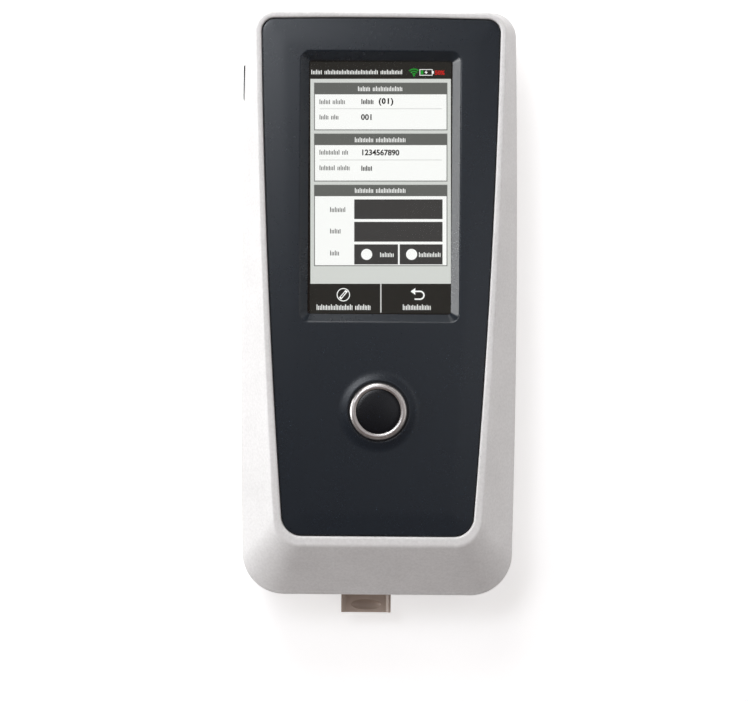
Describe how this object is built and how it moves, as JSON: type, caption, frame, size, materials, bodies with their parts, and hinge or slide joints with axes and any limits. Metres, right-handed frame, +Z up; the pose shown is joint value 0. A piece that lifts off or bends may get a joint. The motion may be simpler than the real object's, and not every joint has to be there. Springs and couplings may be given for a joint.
{
  "type": "rapid test reader",
  "caption": "Handheld rapid test reader lying on its back: white housing, dark front panel with recessed screen, round metal-ringed button, and a cassette tray in its lower end.",
  "frame": {"origin": "middle of the reader's outline seen from above, on the surface it lies on", "axes": "+Z up out of the screen, +Y to the top end of the screen, +X to the screen's right; the cassette tray slides out along -Y"},
  "size_m": [0.1058, 0.232, 0.0516],
  "materials": {
    "white_plastic": "fine matte moulded texture",
    "dark_plastic": "satin dark grey",
    "tray_plastic": "matte light grey",
    "key_plastic": "matte dark grey",
    "black_plastic": "satin black",
    "polished_metal": "polished",
    "screw_metal": "plain steel",
    "shield_metal": "tinned sheet",
    "spring_metal": "spring strip",
    "screen_glass": "dark gloss glass over the display",
    "clear_glass": "clear",
    "display_light": "lit display cell",
    "board_laminate": "green solder mask",
    "ribbon_film": "amber film",
    "foam": "closed-cell foam",
    "battery_wrap": "shrink wrap",
    "lead_sheath": "soft sheath",
    "rubber": "matte"
  },
  "bodies": {
    "reader_body": {"front_housing": "white_plastic", "back_housing": "white_plastic", "battery_door": "white_plastic", "front_panel": "dark_plastic", "button_switch": "black_plastic", "power_switch": "black_plastic", "tray_switch": "black_plastic", "reader_base": "black_plastic", "camera_tower": "black_plastic", "camera_lens": "black_plastic", "battery_socket": "black_plastic", "speaker": "black_plastic", "button_ring": "polished_metal", "button_nut": "screw_metal", "case_screw_1": "screw_metal", "case_screw_2": "screw_metal", "case_screw_3": "screw_metal", "case_screw_4": "screw_metal", "case_screw_5": "screw_metal", "case_screw_6": "screw_metal", "door_screw_1": "screw_metal", "door_screw_2": "screw_metal", "board_screw_1": "screw_metal", "board_screw_2": "screw_metal", "board_screw_3": "screw_metal", "board_screw_4": "screw_metal", "display_screw_1": "screw_metal", "display_screw_2": "screw_metal", "display_screw_3": "screw_metal", "display_screw_4": "screw_metal", "button_screw_1": "screw_metal", "button_screw_2": "screw_metal", "reader_screw_1": "screw_metal", "reader_screw_2": "screw_metal", "display_frame": "shield_metal", "charging_socket": "shield_metal", "processor_shield": "shield_metal", "wireless_module": "shield_metal", "tray_catch": "spring_metal", "cover_glass": "screen_glass", "display_cell": "display_light", "read_window": "clear_glass", "main_board": "board_laminate", "button_board": "board_laminate", "camera_board": "board_laminate", "led_board": "board_laminate", "display_ribbon": "ribbon_film", "button_ribbon": "ribbon_film", "reader_ribbon": "ribbon_film", "display_gasket": "foam", "light_seal": "foam", "battery_pack": "battery_wrap", "battery_lead": "lead_sheath", "rubber_foot_1": "rubber", "rubber_foot_2": "rubber", "rubber_foot_3": "rubber", "rubber_foot_4": "rubber"},
    "tray": {"cassette_tray": "tray_plastic"},
    "button": {"button_cap": "black_plastic"},
    "key": {"power_key": "key_plastic"}
  },
  "joints": [
    {"name": "tray_slide", "type": "slide", "parent": "reader_body", "child": "tray", "axis": [0, -1, 0], "range_m": [0, 0.072]},
    {"name": "button_press", "type": "slide", "parent": "reader_body", "child": "button", "axis": [0, 0, -1], "range_m": [0, 0.0008], "stiffness_N_per_m": 2500, "springref_m": -0.0006},
    {"name": "power_key_press", "type": "slide", "parent": "reader_body", "child": "key", "axis": [1, 0, 0], "range_m": [0, 0.0006], "stiffness_N_per_m": 2500, "springref_m": -0.0005}
  ]
}
